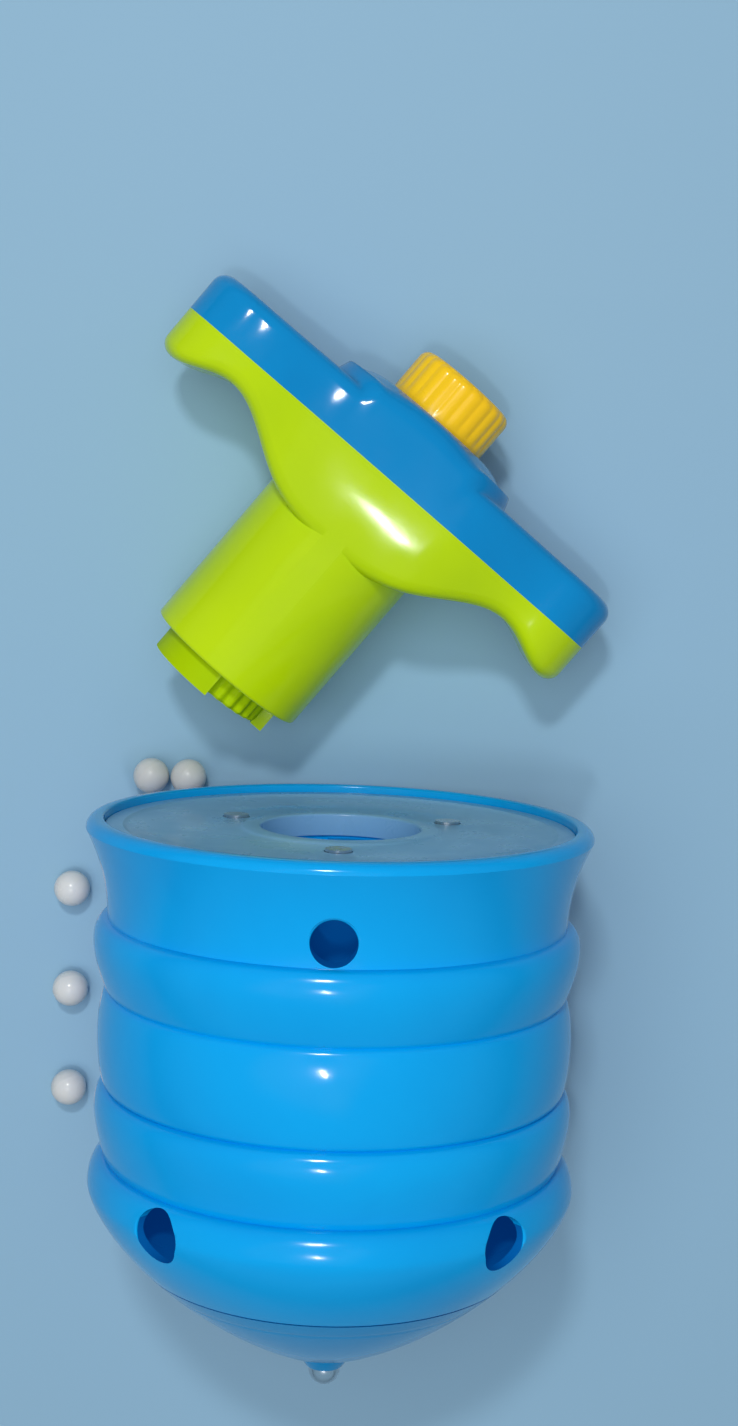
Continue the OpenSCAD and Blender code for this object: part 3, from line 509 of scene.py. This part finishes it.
def makeLid():
    # slightly dished lid with a raised ring round the launch socket
    low, top, radius = lid["top"] - lid["thick"], lid["top"], lid["radius"]
    socket, edge, inner = lid["socket"], lid["edge"], lid["radius"] - lid["dishIn"]
    dished, slope = top - lid["dish"], top - lid["slope"]
    deep, wall = top - lid["socketDeep"], socket + lid["socketWall"]
    rimCrest, rimFoot = lid["rimSteps"]
    ringFoot, ringSide, ringCrest = lid["ringSteps"]
    outline = [(socket, deep), (wall, deep), (wall, low), (radius, low), (radius, top - edge)]
    outline += arc(radius - edge, top - edge, edge, 0, 90, 4)[1:]
    outline += [(inner + rimCrest, top), (inner, slope), (inner - rimFoot, dished),
                (socket + ringFoot, dished), (socket + ringSide, slope),
                (socket + ringCrest, top), (socket + edge, top)]
    outline += arc(socket + edge, top - edge, edge, 90, 180, 4)[1:]
    piece = addPiece("topLid", latheMesh("topLid", outline), topPlace, "top", "lid_grey",
                     "top_lid")
    screw, head, shelf = lid["screwBore"], lid["headBore"], top - lid["headDeep"]
    under, over = low - lid["past"], top + lid["past"]
    holeOutline = [(0, under), (screw, under), (screw, shelf), (head, shelf), (head, over),
                   (0, over)]
    for turn in lid["screwTurns"]:
        hole = latheMesh("hole", holeOutline, around=48)
        spin = Matrix.Rotation(math.radians(turn), 4, "Z")
        out = spin @ Matrix.Translation((lid["screwOut"], 0, 0))
        hole.transform(topPlace @ out)
        cutWith(piece, hole)
    smooth(piece)
    dress(piece, "lid_grey")


makeUpperShell()
makeMainShell()
makeBaseCap()
makeTip()
makeLid()
print("top made")


# The launcher: the plan of the handle, which its lower half and its cover share

grip = {
    "length": 82.0, "depth": 28.4, "endDepth": 19.0, "flat": 22.0, "corner": 2.4,
    "cornerShare": 0.9, "leastHeight": 0.01, "sideSteps": 110, "endSteps": 18, "endTurn": 89.4,
    "acrossSteps": 56,
}


def blend(s):
    # half a wave, from 0 to 1
    return (1 - math.cos(math.pi * s)) / 2


def halfDepth(x):
    x = abs(x)
    middle, last = grip["depth"] / 2, grip["endDepth"] / 2
    start, stop = grip["flat"] / 2, grip["length"] / 2 - last
    if x <= start:
        return middle
    if x <= stop:
        return middle + (last - middle) * blend((x - start) / (stop - start))
    return math.sqrt(max(last ** 2 - (x - stop) ** 2, 0))


def smoothStep(s):
    s = min(max(s, 0), 1)
    return s * s * (3 - 2 * s)


def sectionPlaces():
    # even steps along the handle, then even angles round its ends
    last = grip["endDepth"] / 2
    stop = grip["length"] / 2 - last
    side = [stop * i / grip["sideSteps"] for i in range(grip["sideSteps"] + 1)]
    side += [stop + last * math.sin(math.radians(grip["endTurn"] * i / grip["endSteps"]))
             for i in range(1, grip["endSteps"] + 1)]
    return [-x for x in reversed(side[1:])] + side


def rimFall(x, y, half, corner):
    # how far a face drops towards the rounded edge of the plan
    last = grip["endDepth"] / 2
    stop = grip["length"] / 2 - last
    room = last - math.hypot(abs(x) - stop, y) if abs(x) > stop else half - abs(y)
    over = min(corner - room, corner)
    return corner - math.sqrt(max(corner ** 2 - over ** 2, 0)) if over > 0 else 0


def makeSection(x, heightAt):
    # from the parting face up one side, across the face and down the other side
    half, corner, steps = halfDepth(x), grip["corner"], grip["acrossSteps"]
    edgeWidth = min(corner, half * grip["cornerShare"])
    points = [(x, -half, 0)]
    for i in range(steps + 1):
        across = i / steps - 0.5
        y = (half - edgeWidth) * 2 * across + edgeWidth * math.sin(math.pi * across)
        height = heightAt(x, y) - rimFall(x, y, half, corner)
        points.append((x, y, max(height, grip["leastHeight"])))
    points.append((x, half, 0))
    return points


lowerHalf = {
    "belly": 14.1, "waist": 4.7, "foot": 7.8, "waistShare": 0.675, "footShare": 0.945,
    "bellyPower": 1.45, "tubeRadius": 13.9, "tubeBore": 11.9, "tubeLength": 39.5,
    "tubeEdge": 0.5, "mouthWide": 0.3, "mouthDeep": 0.4, "boreEnd": 30, "past": 5,
}


def underside(x):
    # deep in the middle, thin at the waists and thicker again towards the ends
    size, x, half = lowerHalf, abs(x), grip["length"] / 2
    waistAt, footAt = size["waistShare"] * half, size["footShare"] * half
    if x <= waistAt:
        fall = blend((x / waistAt) ** size["bellyPower"])
        return size["waist"] + (size["belly"] - size["waist"]) * (1 - fall)
    rise = blend(min((x - waistAt) / (footAt - waistAt), 1))
    return size["waist"] + (size["foot"] - size["waist"]) * rise


def makeLowerHalf():
    size = lowerHalf
    sections = []
    for x in sectionPlaces():
        section = makeSection(x, lambda px, py: underside(px))
        sections.append([(px, py, -max(pz, 0)) for px, py, pz in section])
    body = addPiece("launcherBody", loftMesh("launcherBody", sections), launchPlace,
                    "launcher", "launcher_green", "launcher_body")
    radius, length, edge = size["tubeRadius"], size["tubeLength"], size["tubeEdge"]
    barrel = [(0, -size["waist"]), (0, -length)]
    barrel += arc(radius - edge, -length + edge, edge, -90, 0, 5)
    barrel += [(radius, -size["waist"])]
    outside = latheMesh("tube", barrel)
    outside.transform(launchPlace)
    cutWith(body, outside, "UNION")
    inner, end, past = size["tubeBore"], -size["boreEnd"], -length - size["past"]
    mouth = inner + size["mouthWide"]
    bore = latheMesh("bore", [(0, end), (0, past), (mouth, past), (mouth, -length),
                              (inner, -length + size["mouthDeep"]), (inner, end)], around=128)
    bore.transform(launchPlace)
    cutWith(body, bore)
    smooth(body, angle=38)
    dress(body, "launcher_green")


cover = {
    "height": 7.9, "middleHeight": 10.2, "middleRadius": 17.6, "middleStep": 1.1,
    "crownHeight": 11.6, "crownIn": 1.7, "crownWidth": 5.2, "hole": 9.0, "roomWide": 1.8,
    "roomLow": 4, "roomTop": 8.5, "mouthWide": 0.6, "mouthLow": 11.2, "mouthTop": 11.9,
    "past": 14,
}


def coverTop(x, y):
    # bar, raised middle with a rolled step, and the low crown round the button
    size, reach = cover, math.hypot(x, y)
    crownAt = size["middleRadius"] - size["crownIn"]
    toMiddle = smoothStep((size["middleRadius"] - reach) / size["middleStep"])
    toCrown = smoothStep((crownAt - reach) / size["crownWidth"])
    height = size["height"] + (size["middleHeight"] - size["height"]) * toMiddle
    return height + (size["crownHeight"] - size["middleHeight"]) * toCrown


def makeCover():
    # the button's hole has a wider room under it and a wider mouth
    size, hole = cover, cover["hole"]
    room, mouth = hole + size["roomWide"], hole + size["mouthWide"]
    sections = [makeSection(x, coverTop) for x in sectionPlaces()]
    piece = addPiece("launcherCover", loftMesh("launcherCover", sections), launchPlace,
                     "launcher", "cover_blue", "launcher_cover")
    cutter = latheMesh("hole", [(0, size["roomLow"]), (room, size["roomLow"]),
                                (room, size["roomTop"]), (hole, size["roomTop"]),
                                (hole, size["mouthLow"]), (mouth, size["mouthTop"]),
                                (mouth, size["past"]), (0, size["past"])], around=128)
    cutter.transform(launchPlace)
    cutWith(piece, cutter)
    smooth(piece, angle=38)
    dress(piece, "cover_blue")


button = {
    "radius": 8.85, "top": 19.5, "edge": 1.5, "edgeTurn": 10, "dish": 0.5, "dishShare": 0.8,
    "skirt": 10.4, "skirtBore": 6.8, "skirtLow": 6.4, "skirtTop": 8.0, "flutes": 24,
    "fluteDepth": 0.2, "fluteLow": 12.0, "fluteRise": 0.6, "fluteIn": 0.6, "rings": 8,
}


def makeButton():
    size, radius, low, rings = button, button["radius"], button["fluteLow"], button["rings"]
    side, skirtTop = size["top"] - size["edge"], size["skirtTop"]

    def fluted(reach, height, angle):
        if reach < radius - size["fluteIn"] or height < low:
            return reach
        wave = (1 + math.cos(size["flutes"] * angle)) / 2
        return reach - size["fluteDepth"] * (1 - wave ** 0.5) * min(
            (height - low) / size["fluteRise"], 1)

    outline = [(0, skirtTop), (size["skirtBore"], skirtTop), (size["skirtBore"], size["skirtLow"]),
               (size["skirt"], size["skirtLow"]), (size["skirt"], skirtTop), (radius, skirtTop)]
    outline += [(radius, low + (side - low) * i / rings) for i in range(rings + 1)]
    outline += arc(radius - size["edge"], side, size["edge"], size["edgeTurn"], 90, 9)
    outline += [(radius * (1 - i / rings) * size["dishShare"],
                 size["top"] - size["dish"] * smoothStep(2 * i / rings)) for i in range(1, rings)]
    outline += [(0, size["top"] - size["dish"])]
    knob = addPiece("releaseButton", latheMesh("releaseButton", outline, 240, fluted),
                    launchPlace, "button", "button_yellow", "release_button")
    smooth(knob, angle=40)
    dress(knob, "button_yellow")


rotor = {
    "radius": 10.8, "back": 30.2, "face": 39.8, "edge": 0.3, "boss": 8.9, "bossEnd": 43.4,
    "bossEdge": 0.4, "flutes": 24, "fluteDepth": 0.45, "fluteIn": 0.7, "fluteGap": 0.02,
    "cup": 6.2, "cupFloor": 6.0, "cupDeep": 0.9, "pin": 2.6, "pinDeep": 0.2, "clawEnd": 43.8,
    "clawWidth": 2.1, "clawAngle": 92, "clawRoot": 1, "clawTurns": (180, 0),
}


def makeRotor():
    size, radius, boss = rotor, rotor["radius"], rotor["boss"]
    face, end, edge, bossEdge = -size["face"], -size["bossEnd"], size["edge"], size["bossEdge"]

    def fluted(reach, height, angle):
        if height > face - size["fluteGap"] / 2 or reach < boss - size["fluteIn"]:
            return reach
        return reach - size["fluteDepth"] * (1 - math.cos(size["flutes"] * angle)) / 2

    outline = [(0, -size["back"]), (radius, -size["back"]), (radius, face + edge),
               (radius - edge, face), (boss, face), (boss, face - size["fluteGap"]),
               (boss, end + bossEdge), (boss - bossEdge, end), (size["cup"], end),
               (size["cupFloor"], end + size["cupDeep"]), (size["pin"], end + size["cupDeep"]),
               (size["pin"], end + size["pinDeep"]), (0, end + size["pinDeep"])]
    drum = addPiece("clawRotor", latheMesh("clawRotor", outline, 288, fluted), launchPlace,
                    "rotor", "launcher_green", "claw_rotor")
    for turn in size["clawTurns"]:
        claw = sectorMesh("claw", radius - size["clawWidth"], radius, turn, size["clawAngle"],
                          -size["clawEnd"], face + size["clawRoot"])
        claw.transform(launchPlace)
        cutWith(drum, claw, "UNION")
    smooth(drum, angle=35)
    # the rotor is duller than the other green pieces, and its darker green is painted shade
    dress(drum, "rotor_green")


makeLowerHalf()
makeCover()
makeButton()
makeRotor()
print("launcher made")


# Pellets: balls with the faint ridge of their mould, its width in degrees

pellet = {"ridge": 0.04, "ridgeWidth": 3.2, "turn": 20, "rings": 64, "around": 96}


def makePellet(number):
    low, high = [Vector(corner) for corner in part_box(f"ball_{number}")]
    middle, radius = (low + high) / 2, (high.x - low.x) / 2 / mm
    outline = []
    for i in range(pellet["rings"] + 1):
        degrees = -90 + 180 * i / pellet["rings"]
        angle = math.radians(degrees)
        ridge = pellet["ridge"] * math.exp(-(degrees / pellet["ridgeWidth"]) ** 2)
        reach = radius - pellet["ridge"] + ridge
        outline.append((max(reach * math.cos(angle), 0), reach * math.sin(angle)))
    mesh = latheMesh(f"pellet{number}", outline, pellet["around"])
    turn = Matrix.Rotation(math.radians(pellet["turn"] * number), 4, (1, 0.4, 0.2 * number))
    place = Matrix.Translation(middle) @ turn @ Matrix.Scale(mm, 4)
    ball = addPiece(f"pellet{number}", mesh, place, f"pellet_{number}", "pellet_white",
                    f"ball_{number}")
    smooth(ball, angle=60)
    dress(ball, "pellet_white")


for number in range(1, 6):
    makePellet(number)
print("pellets made")


# The nodes that stay get the finish of their slot, and the pellet ring the deep blue of its painted shade and glow

nodeSlots = {part["node"]: part["material_slot"] for part in frame["record"]["subparts"]}
for nodeName, node in frame["nodes"].items():
    dress(node, nodeSlots[nodeName])
for nodeName in ("ball_core", "pellet_shelf"):
    # the core and the shelf take the painted shade and glow blue instead of their own plastic
    frame["nodes"][nodeName].data.materials[0] = shadeAndGlowBlue
print("nodes dressed:", len(frame["nodes"]))


# Floor, light and camera

studio = {
    "floorColour": (0.25, 0.43, 0.58), "floorSize": 1.6, "floorRough": 0.7,
    "worldColour": (0.97, 0.98, 1.0), "worldTop": 0.22, "worldEdge": 0.12,
    "backdropLow": 0.45, "backdropRise": 0.3,
}


def makeFloor():
    bm = bmesh.new()
    bmesh.ops.create_grid(bm, x_segments=1, y_segments=1, size=studio["floorSize"] / 2)
    mesh = bpy.data.meshes.new("floor")
    bm.to_mesh(mesh)
    bm.free()
    floor = bpy.data.objects.new("floor", mesh)
    bpy.context.scene.collection.objects.link(floor)
    material, tree, shader = newMaterial("floor")
    shader.inputs["Base Color"].default_value = (*studio["floorColour"], 1)
    shader.inputs["Roughness"].default_value = studio["floorRough"]
    mesh.materials.append(material)


lamps = {
    "key": {"place": (-0.05, 0.34, 0.62), "target": (0, 0, 0.03), "size": (0.07, 0.05),
            "power": 1.5, "mirrored": True},
    "front": {"place": (-0.04, -0.05, 0.72), "target": (0, -0.03, 0.03), "size": (0.06, 0.02),
              "power": 0.6, "mirrored": True},
    "sky": {"place": (-0.12, 0.04, 0.85), "target": (0, 0, 0.03), "size": (0.7, 0.7),
            "power": 3.9, "mirrored": False},
}


def addLamp(name, lamp):
    data = bpy.data.lights.new(name, "AREA")
    data.shape = "RECTANGLE"
    data.size, data.size_y = lamp["size"]
    data.energy = lamp["power"]
    light = bpy.data.objects.new(name, data)
    bpy.context.scene.collection.objects.link(light)
    light.location = lamp["place"]
    light.rotation_mode = "QUATERNION"
    way = Vector(lamp["target"]) - Vector(lamp["place"])
    light.rotation_quaternion = way.to_track_quat("-Z", "Y")
    light.visible_glossy = lamp["mirrored"]


def makeWorld():
    world = bpy.data.worlds.new("studio")
    bpy.context.scene.world = world
    world.use_nodes = True
    tree = world.node_tree
    background = tree.nodes["Background"]
    background.inputs["Color"].default_value = (*studio["worldColour"], 1)
    coords = tree.nodes.new("ShaderNodeTexCoord")
    split = tree.nodes.new("ShaderNodeSeparateXYZ")
    tree.links.new(coords.outputs["Generated"], split.inputs["Vector"])
    level = spread(tree, split.outputs["Z"], studio["worldEdge"], studio["worldTop"], 0, 1)
    tree.links.new(level, background.inputs["Strength"])
    # seen directly or mirrored, the room is a backdrop in the floor's colour
    backdrop = tree.nodes.new("ShaderNodeBackground")
    backdrop.inputs["Color"].default_value = (*studio["floorColour"], 1)
    rise = spread(tree, split.outputs["Z"], studio["backdropLow"], 1.0, 0.0,
                  studio["backdropRise"])
    tree.links.new(rise, backdrop.inputs["Strength"])
    rays = tree.nodes.new("ShaderNodeLightPath")
    seen = rays.outputs["Is Camera Ray"]
    for kind in ("Is Glossy Ray", "Is Transmission Ray"):
        larger = tree.nodes.new("ShaderNodeMath")
        larger.operation = "MAXIMUM"
        tree.links.new(seen, larger.inputs[0])
        tree.links.new(rays.outputs[kind], larger.inputs[1])
        seen = larger.outputs["Value"]
    mix = tree.nodes.new("ShaderNodeMixShader")
    tree.links.new(seen, mix.inputs[0])
    tree.links.new(background.outputs["Background"], mix.inputs[1])
    tree.links.new(backdrop.outputs["Background"], mix.inputs[2])
    tree.links.new(mix.outputs["Shader"], tree.nodes["World Output"].inputs["Surface"])


photo = {"focal": 2000.0, "longSide": 1426.0, "sensor": 36.0, "pitch": 0.1049,
         "roll": 0.03249, "place": (3.65, 47.087, 333.517), "nearest": 0.01}


def makeCamera():
    # the photograph's view, fitted to the rim and the grooves of the top
    pitch, roll = photo["pitch"], photo["roll"]
    look = Vector((0, -math.sin(pitch), -math.cos(pitch)))
    up = Vector((0, math.cos(pitch), -math.sin(pitch)))
    right = Vector((1, 0, 0))
    turnedRight = right * math.cos(roll) + up * math.sin(roll)
    turnedUp = up * math.cos(roll) - right * math.sin(roll)
    data = bpy.data.cameras.new("photoView")
    data.sensor_width = photo["sensor"]
    data.lens = photo["sensor"] * photo["focal"] / photo["longSide"]
    data.clip_start = photo["nearest"]
    camera = bpy.data.objects.new("photoView", data)
    bpy.context.scene.collection.objects.link(camera)
    rimPlane = Vector((rimMiddle.x, rimHigh.y, 0))
    place = Matrix.Translation(rimPlane + Vector(photo["place"]) * mm)
    for row in range(3):
        place[row][0] = turnedRight[row]
        place[row][1] = turnedUp[row]
        place[row][2] = -look[row]
    camera.matrix_world = place
    bpy.context.scene.camera = camera


makeFloor()
makeWorld()
for lampName, lamp in lamps.items():
    addLamp(lampName, lamp)
makeCamera()
bpy.context.scene.view_settings.view_transform = "Standard"
print("floor, light and camera made")
